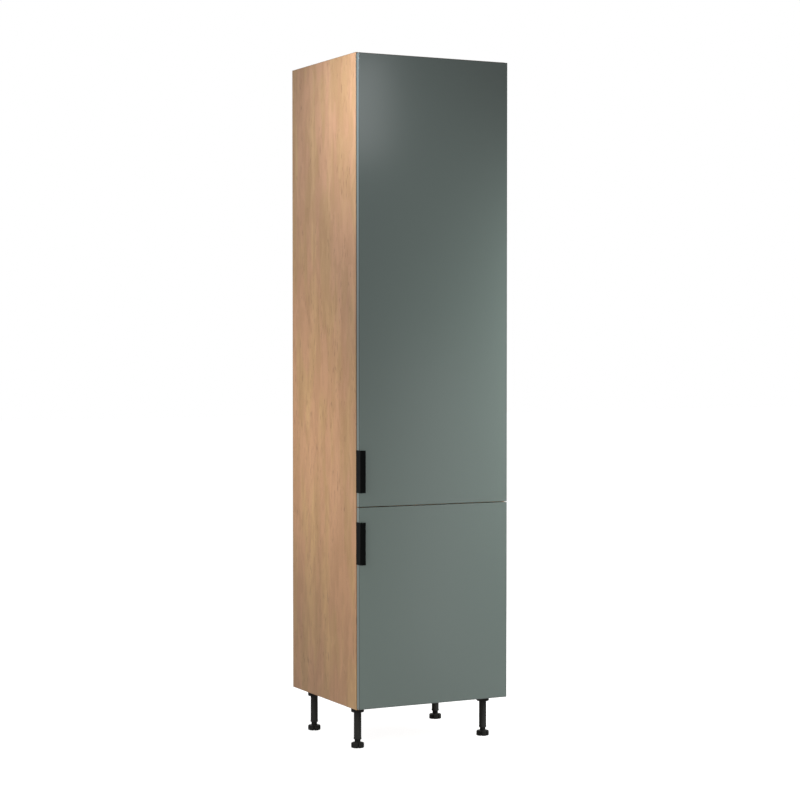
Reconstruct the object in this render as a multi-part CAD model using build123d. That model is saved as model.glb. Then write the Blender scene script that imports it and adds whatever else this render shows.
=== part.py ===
from build123d import *
import os

# Driving sizes of the unit, in millimetres. The front faces -Y and the floor is Z = 0.
WIDTH = 600
CARCASS_DEPTH = 550
CARCASS_HEIGHT = 2314
LEG_HEIGHT = 150
BOARD = 18
BACK_BOARD = 3
DOOR_THICKNESS = 19
DOOR_GAP = 3
DOOR_SIDE_MARGIN = 1.5
DOOR_END_MARGIN = 4
LOWER_DOOR_HEIGHT = 713
HANDLE_PROJECTION = 14

# Planes worked out from them
DEPTH = CARCASS_DEPTH + DOOR_GAP + DOOR_THICKNESS + HANDLE_PROJECTION
BACK_Y = DEPTH / 2
FRONT_Y = BACK_Y - CARCASS_DEPTH
DOOR_BACK_Y = FRONT_Y - DOOR_GAP
DOOR_FRONT_Y = DOOR_BACK_Y - DOOR_THICKNESS
HANDLE_FRONT_Y = DOOR_FRONT_Y - HANDLE_PROJECTION
SIDE_X = WIDTH / 2
INNER_X = SIDE_X - BOARD
INNER_WIDTH = 2 * INNER_X
DOOR_EDGE_X = SIDE_X - DOOR_SIDE_MARGIN
BASE_Z = LEG_HEIGHT
TOP_Z = BASE_Z + CARCASS_HEIGHT
LOWER_DOOR_Z = BASE_Z + DOOR_END_MARGIN
UPPER_DOOR_Z = LOWER_DOOR_Z + LOWER_DOOR_HEIGHT + DOOR_GAP
UPPER_DOOR_HEIGHT = TOP_Z - DOOR_END_MARGIN - UPPER_DOOR_Z
SPLIT_Z = UPPER_DOOR_Z - DOOR_GAP / 2

# Boards and back
BACK_INSET = 20
BACK_FRONT_Y = BACK_Y - BACK_INSET - BACK_BOARD
GROOVE_WIDTH = 3.2
GROOVE_DEPTH = 8.2
BACK_TONGUE = 8
EDGE_BEVEL = 0.8
FIXED_SHELF_Z = SPLIT_Z - BOARD / 2
STRIP_WEB = 1
STRIP_SKIN = 1
STRIP_FLANGE = 15

# Adjustable shelves, by the height of their underside above the bottom of the carcass
SHELVES = {
    "shelf_lower": 355,
    "shelf_upper_bottom": 1095,
    "shelf_upper_middle": 1447,
    "shelf_upper_top": 1863,
}
SHELF_SIDE_PLAY = 1
SHELF_SETBACK = 12
SHELF_BACK_PLAY = 2

# Holes of the 32 mm system and the shelf pins in them
SYSTEM_PITCH = 32
SYSTEM_SETBACK = 37
SYSTEM_HOLE_R = 2.5
SYSTEM_HOLE_DEPTH = 12
FRONT_ROW_Y = FRONT_Y + SYSTEM_SETBACK
REAR_ROW_Y = FRONT_ROW_Y + 13 * SYSTEM_PITCH
PIN_R = 2.46
PIN_IN_SIDE = 9
PIN_OUT = 7

# Dowels that join the boards, glued in on assembly
DOWEL_R = 4
DOWEL_PLAY = 0.05
DOWEL_IN_SIDE = 10
DOWEL_IN_BOARD = 20
DOWEL_END_PLAY = 0.5
DOWEL_SETBACKS = (40, 270, 490)

# Legs and their feet
LEG_SIDE_INSET = 44.3
FRONT_LEG_SETBACK = 80.3
REAR_LEG_SETBACK = 94.4
LEG_TUBE_R = 13
LEG_TUBE_END = 120
LEG_BORE = 75
SOCKET_HALF = 27
SOCKET_CORNER = 10
SOCKET_FLANGE = 3.5
SOCKET_R = 23.25
SOCKET_HEIGHT = 22
SOCKET_SEAT = 2.5
SOCKET_PLAY = 0.05
PEG_SPACING = 40
PEG_R = 4
PEG_LENGTH = 12
PEG_PLAY = 0.05
FOOT_R = 23
FOOT_HEIGHT = 18
FOOT_SIDES = 24
NECK_R = 10.9
NECK_PLAY = 0.05
NECK_TOP = 90
NECK_SIDES = 16

# Handles
HANDLE_LENGTH = 150
HANDLE_SKIN = 1.5
HANDLE_LIP_SKIN = 2
HANDLE_LIP = 21.5
HANDLE_FLANGE = 24
HANDLE_ROUND = 0.9
LOWER_HANDLE_Z = BASE_Z + 515.5
UPPER_HANDLE_Z = BASE_Z + 769
HANDLE_SCREW_SPACING = 96
HANDLE_SCREW_X = 14 - DOOR_EDGE_X

# Bumpers
BUMPER_R = 5
BUMPER_SIDES = 12
BUMPER_X = BOARD / 2 - SIDE_X
BUMPER_END_DISTANCE = 30

# Concealed hinges, drawn in plan: u runs from the door's hinge edge along the door,
# v from the door's back towards its front, w upwards from the middle of the hinge
HINGE_END_DISTANCE = 100
MIDDLE_HINGE_HEIGHT = 1611
CUP_R = 17.5
CUP_EDGE_DISTANCE = 3
CUP_PLAY = 0.1
CUP_DEPTH = 12.8
CUP_SKIN = 0.8
CUP_FLANGE = 1.2
CUP_FLANGE_R = 18.5
CUP_EAR_R = 6
CUP_SCREW_SETBACK = 9.5
CUP_SCREW_W = 22.5
CUP_U = CUP_EDGE_DISTANCE + CUP_R
CUP_INSIDE_R = CUP_R - CUP_SKIN
MOUTH_STEP_U = 17
MOUTH_END_U = CUP_U + CUP_R
CUP_SIDES = 12
FLANGE_SIDES = 24
MOUTH_NARROW_HALF = 4.4
MOUTH_WIDE_HALF = 6
POCKET_U = (5.4, 11.7)
POCKET_V = (0.7, 10.9)
POCKET_HALF = 5.9

# Links: each is a bent bar from its pin in the cup to its pin in the arm
OUTER_ARM_PIN = (33, 1.5)
OUTER_CUP_PIN = (9, 7.1)
OUTER_ELBOWS = ((11.74, 9.79), (31.37, 9.69))
INNER_ARM_PIN = (39, -12)
INNER_CUP_PIN = (8.4, 3)
INNER_ELBOWS = ((13.08, 6.57), (32.89, -8.64))
LINK_WIDTH = 2.8
LINK_EYE_R = 1.8
OUTER_ELBOW_CUTS = (1.6, 3.2)
INNER_ELBOW_CUTS = (3,)
INNER_LINK_HALF = 2.4
OUTER_CHEEK = (2.7, 4.1)
BRIDGE_U = (22.5, 29)
BRIDGE_SKIN = 1
LINK_PIN_R = 0.95
LINK_PIN_PLAY = 0.06
LINK_PIN_HALF = 5.6

# Arm and mounting plate
ARM_CHEEK = (4.4, 5.6)
ARM_SKIN = 1.2
ARM_SEAT_U = 19.2
ARM_BACK_U = 29.5
ARM_REAR_V = -58
ARM_HEEL = (26, -27)
ARM_HEEL_R = ARM_BACK_U - ARM_HEEL[0]
ARM_OUTER_NOSE_R = 1.9
ARM_INNER_NOSE_R = 2.7
ARM_WEB_END_V = -16
PLATE_U = BOARD - DOOR_SIDE_MARGIN
PLATE_SKIN = 2.2
PLATE_RAIL = 6
PLATE_RAIL_HALF = 4.2
PLATE_RAIL_V = (-60, -19)
PLATE_SCREW_V = DOOR_BACK_Y - FRONT_ROW_Y
PLATE_WING_WIDTH = 14
PLATE_WING_HALF = 24
ARM_SCREW_VS = (-33, -52)
ARM_SCREW_R = 2.5
ARM_SCREW_HEAD = 1.6
ARM_SCREW_LENGTH = 11

# Screws: head radius, head height, shank radius and length under the head
CUP_SCREW = (3.6, 1.2, 1.75, 12)
HANDLE_SCREW = (2.9, 1, 1.6, 12)
PLATE_SCREW = (4.3, 1.5, 2.46, 13)
SCREW_PLAY = 0.04

# Small round pieces are drawn with flat sides: screws, dowels and pegs, then pins and eyes
SMALL_SIDES = 6
PIN_SIDES = 8


def box(x, y, z):
    """Box between two limits on each axis."""
    middle = [(low + high) / 2 for low, high in (x, y, z)]
    return Pos(*middle) * Box(x[1] - x[0], y[1] - y[0], z[1] - z[0])


def rod(start, direction, radius, length):
    """Round bar from a point along a direction."""
    return extrude(Plane(start, z_dir=direction) * Circle(radius), length)


def prism(start, direction, radius, length, sides=SMALL_SIDES):
    """Bar with flat sides at the radius, one of them square to an axis."""
    outline = RegularPolygon(radius, sides, major_radius=False, rotation=180 / sides)
    return extrude(Plane(start, z_dir=direction) * outline, length)


def mirrored_pair(shape):
    """The shape and its mirror image at the other side of the cabinet."""
    return [shape, mirror(shape, Plane.YZ)]


def screw(size, start, direction):
    """Screw with a flat head; the start is where the head lies on, the direction that of its tip."""
    head_r, head, shank_r, length = size
    shank = prism(start, direction, shank_r, length)
    return shank + prism(start, [-part for part in direction], head_r, head)


def screw_hole(size, start, direction):
    """Bore for the shank of a screw."""
    shank_r, length = size[2:]
    return prism(start, direction, shank_r + SCREW_PLAY, length + SCREW_PLAY)


def board_levels():
    """Underside of each board between the sides."""
    return {
        "bottom_panel": BASE_Z,
        "fixed_shelf": FIXED_SHELF_Z,
        "top_panel": TOP_Z - BOARD,
    }


def dowel_rows():
    """Y of each row of dowels."""
    return [FRONT_Y + setback for setback in DOWEL_SETBACKS]


def side_panel():
    """Right side panel: grooved for the back and bored for dowels and shelf pins."""
    panel = box((INNER_X, SIDE_X), (FRONT_Y, BACK_Y), (BASE_Z, TOP_Z))
    panel = chamfer(panel.edges().filter_by(Axis.Z).group_by(Axis.Y)[0], EDGE_BEVEL)
    panel -= box(
        (INNER_X, INNER_X + GROOVE_DEPTH), (BACK_FRONT_Y, BACK_FRONT_Y + GROOVE_WIDTH), (BASE_Z, TOP_Z)
    )
    holes = []
    for level in board_levels().values():
        for y in dowel_rows():
            start = (INNER_X, y, level + BOARD / 2)
            holes.append(prism(start, (1, 0, 0), DOWEL_R, DOWEL_IN_SIDE + DOWEL_END_PLAY))
    for z in shelf_pin_levels():
        for y in (FRONT_ROW_Y, REAR_ROW_Y):
            holes.append(prism((INNER_X, y, z), (1, 0, 0), SYSTEM_HOLE_R, SYSTEM_HOLE_DEPTH, PIN_SIDES))
    return panel - holes


def shelf_pin_levels():
    """Heights of the shelf pins, which the shelves lie on."""
    return [BASE_Z + height - PIN_R for height in SHELVES.values()]


def hinge_levels():
    """Height of the middle of each hinge, by door and place."""
    return {
        "lower": {
            "bottom": LOWER_DOOR_Z + HINGE_END_DISTANCE,
            "top": LOWER_DOOR_Z + LOWER_DOOR_HEIGHT - HINGE_END_DISTANCE,
        },
        "upper": {
            "bottom": UPPER_DOOR_Z + HINGE_END_DISTANCE,
            "middle": BASE_Z + MIDDLE_HINGE_HEIGHT,
            "top": UPPER_DOOR_Z + UPPER_DOOR_HEIGHT - HINGE_END_DISTANCE,
        },
    }


def all_hinge_levels():
    """Heights of the hinges of both doors together."""
    return [level for levels in hinge_levels().values() for level in levels.values()]


def carcass_sides():
    """Both side panels; only the right one is bored for hinge plates."""
    right, left = mirrored_pair(side_panel())
    bores = []
    for level in all_hinge_levels():
        for w in (-SYSTEM_PITCH / 2, SYSTEM_PITCH / 2):
            start = (INNER_X, FRONT_ROW_Y, level + w)
            bores.append(prism(start, (1, 0, 0), SYSTEM_HOLE_R, SYSTEM_HOLE_DEPTH))
    return {"side_right": right - bores, "side_left": left}


def carcass_boards():
    """Top, bottom and fixed shelf between the sides, with grooves and bores."""
    boards = {}
    groove_y = (BACK_FRONT_Y, BACK_FRONT_Y + GROOVE_WIDTH)
    for name, level in board_levels().items():
        rear = BACK_FRONT_Y - STRIP_SKIN if name == "fixed_shelf" else BACK_Y
        board = box((-INNER_X, INNER_X), (FRONT_Y, rear), (level, level + BOARD))
        board = chamfer(board.edges().filter_by(Axis.X).group_by(Axis.Y)[0], EDGE_BEVEL)
        if name == "bottom_panel":
            board -= box((-INNER_X, INNER_X), groove_y, (level + BOARD - GROOVE_DEPTH, level + BOARD))
            board -= [bore for x, y in leg_places().values() for bore in pegs(x, y, PEG_PLAY)]
        if name == "top_panel":
            board -= box((-INNER_X, INNER_X), groove_y, (level, level + GROOVE_DEPTH))
        bores = []
        for y in dowel_rows():
            start = (INNER_X, y, level + BOARD / 2)
            bore = prism(start, (-1, 0, 0), DOWEL_R, DOWEL_IN_BOARD + DOWEL_END_PLAY)
            bores += mirrored_pair(bore)
        boards[name] = board - bores
    return boards


def dowels():
    """Wood dowels between the sides and the boards."""
    shapes = []
    for level in board_levels().values():
        for y in dowel_rows():
            start = (INNER_X + DOWEL_IN_SIDE, y, level + BOARD / 2)
            bar = prism(start, (-1, 0, 0), DOWEL_R - DOWEL_PLAY, DOWEL_IN_SIDE + DOWEL_IN_BOARD)
            shapes += mirrored_pair(bar)
    return shapes


def back_sheets():
    """Two back sheets in the grooves and the strip that joins them behind the fixed shelf."""
    half = INNER_X + BACK_TONGUE
    y = (BACK_FRONT_Y, BACK_FRONT_Y + BACK_BOARD)
    joint = (SPLIT_Z - STRIP_WEB / 2, SPLIT_Z + STRIP_WEB / 2)
    lower = box((-half, half), y, (BASE_Z + BOARD - BACK_TONGUE, joint[0]))
    upper = box((-half, half), y, (joint[1], TOP_Z - BOARD + BACK_TONGUE))
    width = (-INNER_X, INNER_X)
    flange_z = (SPLIT_Z - STRIP_FLANGE / 2, SPLIT_Z + STRIP_FLANGE / 2)
    strip = box(width, y, joint)
    strip += box(width, (y[0] - STRIP_SKIN, y[0]), flange_z)
    strip += box(width, (y[1], y[1] + STRIP_SKIN), flange_z)
    return {"back_lower": lower, "back_upper": upper, "back_joint_strip": strip}


def adjustable_shelf(height):
    """Loose shelf on its pins."""
    half = INNER_X - SHELF_SIDE_PLAY
    level = BASE_Z + height
    y = (FRONT_Y + SHELF_SETBACK, BACK_FRONT_Y - SHELF_BACK_PLAY)
    shelf = box((-half, half), y, (level, level + BOARD))
    return chamfer(shelf.edges().filter_by(Axis.X).group_by(Axis.Y)[0], EDGE_BEVEL)


def shelf_pins():
    """Four steel pins under each adjustable shelf."""
    pins = []
    for z in shelf_pin_levels():
        for y in (FRONT_ROW_Y, REAR_ROW_Y):
            start = (INNER_X + PIN_IN_SIDE, y, z)
            pins += mirrored_pair(prism(start, (-1, 0, 0), PIN_R, PIN_IN_SIDE + PIN_OUT, PIN_SIDES))
    return pins


def leg_places():
    """Centre of each leg in plan."""
    x = SIDE_X - LEG_SIDE_INSET
    front = FRONT_Y + FRONT_LEG_SETBACK
    rear = BACK_Y - REAR_LEG_SETBACK
    return {
        "front_left": (-x, front),
        "front_right": (x, front),
        "rear_left": (-x, rear),
        "rear_right": (x, rear),
    }


def pegs(x, y, play=0):
    """The pegs of a leg socket, pressed into the bottom panel, or with a play their bores."""
    return [
        prism((place.position.X, place.position.Y, BASE_Z), (0, 0, 1), PEG_R + play, PEG_LENGTH + play)
        for place in Pos(x, y) * GridLocations(PEG_SPACING, PEG_SPACING, 2, 2)
    ]


def leg_socket(x, y):
    """Socket under the bottom panel: flange with pegs, and the collar that grips the leg."""
    flange = Pos(x, y, BASE_Z - SOCKET_FLANGE) * Box(
        2 * SOCKET_HALF, 2 * SOCKET_HALF, SOCKET_FLANGE, align=(Align.CENTER, Align.CENTER, Align.MIN)
    )
    flange = chamfer(flange.edges().filter_by(Axis.Z), SOCKET_CORNER)
    low = (x, y, BASE_Z - SOCKET_HEIGHT)
    socket = flange + pegs(x, y) + rod(low, (0, 0, 1), SOCKET_R, SOCKET_HEIGHT)
    depth = SOCKET_HEIGHT - SOCKET_SEAT
    return socket - prism(low, (0, 0, 1), LEG_TUBE_R + SOCKET_PLAY, depth, NECK_SIDES)


def leg(x, y):
    """Leg body: a round tube whose bore takes the neck of the foot."""
    end = (x, y, BASE_Z - LEG_TUBE_END)
    tube = rod(end, (0, 0, 1), LEG_TUBE_R, LEG_TUBE_END - SOCKET_SEAT)
    return tube - prism(end, (0, 0, 1), NECK_R + NECK_PLAY, LEG_BORE, NECK_SIDES)


def foot(x, y):
    """Screw foot: a pad and the neck that slides in the leg."""
    pad = prism((x, y, 0), (0, 0, 1), FOOT_R, FOOT_HEIGHT, FOOT_SIDES)
    return pad + prism((x, y, 0), (0, 0, 1), NECK_R, NECK_TOP, NECK_SIDES)


def edge_pull(z):
    """Handle: a bent profile that wraps the door's left edge and reaches past its front."""
    outer, inner = -SIDE_X, HANDLE_SKIN - SIDE_X
    back, flange_front = DOOR_BACK_Y + HANDLE_SKIN, DOOR_BACK_Y
    front, lip_back = HANDLE_FRONT_Y, HANDLE_FRONT_Y + HANDLE_LIP_SKIN
    lip_end, flange_end = HANDLE_LIP - SIDE_X, HANDLE_FLANGE - SIDE_X
    corners = [
        (outer, back),
        (flange_end, back),
        (flange_end, flange_front),
        (inner, flange_front),
        (inner, lip_back),
        (lip_end, lip_back),
        (lip_end, front),
        (outer, front),
    ]
    profile = make_face(Polyline(*corners, close=True))
    rounded = [v for v in profile.vertices() if v.Y < lip_back + 0.1]
    profile = fillet(rounded, HANDLE_ROUND)
    bar = Pos(0, 0, z) * extrude(profile, HANDLE_LENGTH)
    return bar - handle_screw_shapes(z, screw_hole)


def handle_screw_shapes(z, make):
    """The two screws of a handle, or their holes, from the flange into the door's back."""
    middle = z + HANDLE_LENGTH / 2
    heights = (middle - HANDLE_SCREW_SPACING / 2, middle + HANDLE_SCREW_SPACING / 2)
    start_y = DOOR_BACK_Y + HANDLE_SKIN
    return [make(HANDLE_SCREW, (HANDLE_SCREW_X, start_y, height), (0, -1, 0)) for height in heights]


def bumpers(z, height):
    """Soft bumpers at the free corners of a door, which meet the carcass when it is shut."""
    shapes = []
    for level in (z + BUMPER_END_DISTANCE, z + height - BUMPER_END_DISTANCE):
        shapes.append(prism((BUMPER_X, DOOR_BACK_Y, level), (0, 1, 0), BUMPER_R, DOOR_GAP, BUMPER_SIDES))
    return shapes


def door(name, z, height, handle_z):
    """Door slab with its front edges eased, bored for cups, hinge screws and handle screws."""
    slab = box((-DOOR_EDGE_X, DOOR_EDGE_X), (DOOR_FRONT_Y, DOOR_BACK_Y), (z, z + height))
    slab = chamfer(slab.faces().sort_by(Axis.Y)[0].edges(), EDGE_BEVEL)
    bores = handle_screw_shapes(handle_z, screw_hole)
    for level in hinge_levels()[name].values():
        bores.append(placed(level, cup_bar(CUP_R, 0, CUP_DEPTH + CUP_PLAY)))
        bores += [placed(level, shape) for shape in cup_screw_shapes(screw_hole)]
    return slab - bores


def placed(level, shape):
    """A hinge piece drawn in (u, v, w), moved to its height on the right-hand side."""
    return Plane((DOOR_EDGE_X, DOOR_BACK_Y, level), x_dir=(-1, 0, 0), z_dir=(0, 0, 1)).location * shape


def cup_bar(radius, low, high):
    """Bar on the cup's axis between two depths, flat towards the door's edge."""
    return prism((CUP_U, low, 0), (0, 1, 0), radius, high - low, CUP_SIDES)


def link_pin(centre, half):
    """Upright pin about the middle of the hinge."""
    outline = Pos(*centre) * RegularPolygon(LINK_PIN_R, PIN_SIDES)
    return layer(outline, -half, half)


def layer(outline, low, high):
    """Flat outline in plan, extruded between two heights."""
    return Pos(0, 0, low) * extrude(outline, high - low)


def cup_screw_shapes(make):
    """The two screws of a cup, or their holes."""
    u = CUP_U + CUP_SCREW_SETBACK
    return [make(CUP_SCREW, (u, -CUP_FLANGE, w), (0, 1, 0)) for w in (-CUP_SCREW_W, CUP_SCREW_W)]


def cup_flange():
    """Flange of the cup: a disc drawn out to two ears for the screws."""
    disc = Pos(CUP_U, 0) * RegularPolygon(CUP_FLANGE_R, FLANGE_SIDES)
    ear = RegularPolygon(CUP_EAR_R, PIN_SIDES)
    ears = [Pos(CUP_U + CUP_SCREW_SETBACK, w) * ear for w in (-CUP_SCREW_W, CUP_SCREW_W)]
    outline = make_hull(disc.edges() + ears[0].edges() + ears[1].edges())
    return extrude(Plane((0, 0, 0), x_dir=(1, 0, 0), z_dir=(0, -1, 0)) * outline, CUP_FLANGE)


def hinge_cup():
    """Cup with its flange, the stepped mouth for arm and links, and the pocket for the pins."""
    cup = cup_flange() + cup_bar(CUP_R - CUP_PLAY, 0, CUP_DEPTH)
    depth = (-CUP_FLANGE, CUP_DEPTH - CUP_SKIN)
    mouth = box((0, MOUTH_END_U), depth, (-MOUTH_NARROW_HALF, MOUTH_NARROW_HALF))
    mouth += box((MOUTH_STEP_U, MOUTH_END_U), depth, (-MOUTH_WIDE_HALF, MOUTH_WIDE_HALF))
    above = box((0, MOUTH_END_U), (-CUP_FLANGE, 0), (-MOUTH_WIDE_HALF, MOUTH_WIDE_HALF))
    room = cup_bar(CUP_INSIDE_R, 0, CUP_DEPTH) + above
    return cup - (mouth & room) - pin_pocket() - cup_screw_shapes(screw_hole)


def pin_pocket():
    """Slot in both bosses of the cup, where the pins of the links move."""
    return box(POCKET_U, POCKET_V, (-POCKET_HALF, POCKET_HALF))


def link_outline(cup_pin, elbows, arm_pin, cuts):
    """Flat outline of a link: a bent bar, cut straight outside its bends, with an eye at each end."""
    route = Polyline(cup_pin, *elbows, arm_pin)
    outline = make_face(offset(route, LINK_WIDTH / 2, kind=Kind.INTERSECTION, side=Side.BOTH))
    for elbow, cut in zip(elbows, cuts):
        corners = outline.vertices().sort_by_distance(elbow)[:2]
        outline = chamfer(corners.sort_by(Axis.Y)[-1], cut)
    for pin in (cup_pin, arm_pin):
        outline += Pos(*pin) * RegularPolygon(LINK_EYE_R, PIN_SIDES)
        outline -= Pos(*pin) * RegularPolygon(LINK_PIN_R + LINK_PIN_PLAY, SMALL_SIDES, major_radius=False)
    return outline


def outer_link():
    """Outer link: two cheeks that run along the bottom of the cup, joined by a bridge."""
    outline = link_outline(OUTER_CUP_PIN, OUTER_ELBOWS, OUTER_ARM_PIN, OUTER_ELBOW_CUTS)
    near, far = OUTER_CHEEK
    outside = OUTER_ELBOWS[1][1] + LINK_WIDTH / 2
    bridge = box(BRIDGE_U, (outside - BRIDGE_SKIN, outside), (-near, near))
    return layer(outline, near, far) + layer(outline, -far, -near) + bridge


def inner_link():
    """Inner link: one thick bent bar between the cheeks of the outer link."""
    outline = link_outline(INNER_CUP_PIN, INNER_ELBOWS, INNER_ARM_PIN, INNER_ELBOW_CUTS)
    return layer(outline, -INNER_LINK_HALF, INNER_LINK_HALF)


def arm_outline():
    """Side of the arm: straight over the plate, then bent out to a nose that holds both pins."""
    heel = Pos(*ARM_HEEL) * RegularPolygon(ARM_HEEL_R, PIN_SIDES)
    inner_nose = Pos(*INNER_ARM_PIN) * RegularPolygon(ARM_INNER_NOSE_R, PIN_SIDES)
    outer_nose = Pos(*OUTER_ARM_PIN) * RegularPolygon(ARM_OUTER_NOSE_R, PIN_SIDES)
    neck = make_hull(heel.edges() + inner_nose.edges() + outer_nose.edges())
    corners = [
        (ARM_SEAT_U, ARM_REAR_V),
        (ARM_BACK_U, ARM_REAR_V),
        (ARM_BACK_U, ARM_HEEL[1]),
        (ARM_HEEL[0] - ARM_HEEL_R, ARM_HEEL[1]),
        (ARM_SEAT_U, ARM_HEEL[1] - ARM_HEEL_R),
    ]
    return neck + make_face(Polyline(*corners, close=True))


def hinge_arm():
    """Arm: a pressed channel that straddles the rail of the plate, open at its nose."""
    near, far = ARM_CHEEK
    outline = arm_outline()
    web = outline - Pos(-ARM_SKIN, 0) * outline
    web -= Pos(0, ARM_WEB_END_V) * Rectangle(WIDTH, WIDTH, align=(Align.CENTER, Align.MIN))
    arm = layer(outline, near, far) + layer(outline, -far, -near) + layer(web, -near, near)
    return arm - arm_screw_shapes(SCREW_PLAY)


def hinge_plate():
    """Mounting plate: a wing screwed to the side, and the rail that carries the arm."""
    face_u = PLATE_U + PLATE_SKIN
    wing_v = (PLATE_SCREW_V - PLATE_WING_WIDTH / 2, PLATE_SCREW_V + PLATE_WING_WIDTH / 2)
    plate = box((PLATE_U, face_u), wing_v, (-PLATE_WING_HALF, PLATE_WING_HALF))
    plate += box((PLATE_U, face_u + PLATE_RAIL), PLATE_RAIL_V, (-PLATE_RAIL_HALF, PLATE_RAIL_HALF))
    return plate - arm_screw_shapes(SCREW_PLAY) - plate_screw_shapes(screw_hole)


def plate_screw_shapes(make):
    """The two screws of a mounting plate, or their holes."""
    u = PLATE_U + PLATE_SKIN
    half = SYSTEM_PITCH / 2
    return [make(PLATE_SCREW, (u, PLATE_SCREW_V, w), (-1, 0, 0)) for w in (-half, half)]


def arm_screw_shapes(play=0):
    """The two adjusting screws from the back of the arm into the rail, or their holes."""
    start_u = ARM_BACK_U + ARM_SCREW_HEAD
    return [
        prism((start_u, v, 0), (-1, 0, 0), ARM_SCREW_R + play, ARM_SCREW_LENGTH + play) for v in ARM_SCREW_VS
    ]


def hinges(door_name):
    """Every node of one door's hinges."""
    levels = hinge_levels()[door_name]
    groups = {
        f"hinge_plates_{door_name}": [hinge_plate()],
        f"cup_screws_{door_name}": cup_screw_shapes(screw),
        f"{door_name}_outer_links": [outer_link()],
        f"{door_name}_outer_link_pins": [link_pin(OUTER_CUP_PIN, LINK_PIN_HALF)],
        f"{door_name}_inner_links": [inner_link()],
        f"{door_name}_inner_link_pins": [link_pin(INNER_CUP_PIN, LINK_PIN_HALF)],
    }
    nodes = {}
    for name, shapes in groups.items():
        nodes[name] = [placed(level, shape) for level in levels.values() for shape in shapes]
    cup, arm = hinge_cup(), hinge_arm()
    for place, level in levels.items():
        nodes[f"hinge_cup_{door_name}_{place}"] = [placed(level, cup)]
        nodes[f"hinge_arm_{door_name}_{place}"] = [placed(level, arm)]
    return nodes


def hinge_fasteners():
    """Screws of all plates, adjusting screws of all arms and the pins in all arms."""
    pins = [link_pin(pin, ARM_CHEEK[0]) for pin in (OUTER_ARM_PIN, INNER_ARM_PIN)]
    groups = {
        "plate_screws": plate_screw_shapes(screw),
        "arm_screws": arm_screw_shapes(),
        "hinge_arm_pins": pins,
    }
    nodes = {}
    for name, shapes in groups.items():
        nodes[name] = [placed(level, shape) for level in all_hinge_levels() for shape in shapes]
    return nodes


def legs():
    """Legs, feet and sockets."""
    nodes = {"leg_sockets": []}
    for place, (x, y) in leg_places().items():
        nodes[f"leg_{place}"] = [leg(x, y)]
        nodes[f"foot_{place}"] = [foot(x, y)]
        nodes["leg_sockets"].append(leg_socket(x, y))
    return nodes


def doors():
    """Both doors with their handles, handle screws and bumpers."""
    nodes = {}
    sizes = {
        "lower": (LOWER_DOOR_Z, LOWER_DOOR_HEIGHT, LOWER_HANDLE_Z),
        "upper": (UPPER_DOOR_Z, UPPER_DOOR_HEIGHT, UPPER_HANDLE_Z),
    }
    for name, (z, height, handle_z) in sizes.items():
        nodes[f"door_{name}"] = [door(name, z, height, handle_z)]
        nodes[f"handle_{name}"] = [edge_pull(handle_z)]
        nodes[f"handle_screws_{name}"] = handle_screw_shapes(handle_z, screw)
        nodes[f"bumpers_{name}"] = bumpers(z, height)
        nodes |= hinges(name)
    return nodes


def carcass():
    """Everything that the doors and the feet move against, apart from hinges and legs."""
    nodes = {name: [shape] for name, shape in (carcass_sides() | carcass_boards() | back_sheets()).items()}
    for name, height in SHELVES.items():
        nodes[name] = [adjustable_shelf(height)]
    return nodes | {"shelf_pins": shelf_pins(), "dowels": dowels()}


def write(name, shapes):
    """Write one node to its file: a single piece, or a group of separate ones."""
    solids = [solid for shape in shapes for solid in shape.solids()]
    export_step(Compound(solids), f"parts/{name}.step")


os.makedirs("parts", exist_ok=True)
for node_name, node_shapes in (carcass() | legs() | doors() | hinge_fasteners()).items():
    write(node_name, node_shapes)
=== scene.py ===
import math

import bmesh
import bpy
from mathutils import Matrix, Vector


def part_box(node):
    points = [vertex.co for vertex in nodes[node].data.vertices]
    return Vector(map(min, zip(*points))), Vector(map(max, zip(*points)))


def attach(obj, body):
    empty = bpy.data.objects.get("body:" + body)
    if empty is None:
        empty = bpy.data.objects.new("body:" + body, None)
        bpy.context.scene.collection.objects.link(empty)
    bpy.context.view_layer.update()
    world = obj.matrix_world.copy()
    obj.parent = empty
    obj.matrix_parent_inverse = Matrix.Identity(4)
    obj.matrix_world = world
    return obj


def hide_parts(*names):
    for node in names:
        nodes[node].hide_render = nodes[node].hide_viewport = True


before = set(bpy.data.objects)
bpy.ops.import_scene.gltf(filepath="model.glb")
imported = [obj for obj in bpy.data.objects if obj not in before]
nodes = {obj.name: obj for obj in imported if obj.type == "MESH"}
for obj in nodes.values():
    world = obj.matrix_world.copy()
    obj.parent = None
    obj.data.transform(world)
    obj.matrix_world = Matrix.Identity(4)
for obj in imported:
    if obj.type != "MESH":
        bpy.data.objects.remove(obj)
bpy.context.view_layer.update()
scene = bpy.context.scene

# Camera, fitted to the corners of the unit in the photograph
IMAGE_SIZE = 800
FOCAL_PIXELS = 2030.1
CAMERA_PLACE = (-3.3759, -6.6955, 1.4468)
CAMERA_TURN = 26.781
CAMERA_DIP = 1.615
SENSOR_WIDTH = 36
CLIP_END = 200

# Floor: its size, the share of light that it gives back, and its glow. World: its light on the object
FLOOR_SIZE = 60
FLOOR_SHARE = 0.3
FLOOR_GLOW = 0.93
WORLD_LIGHT = 0.28

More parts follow.
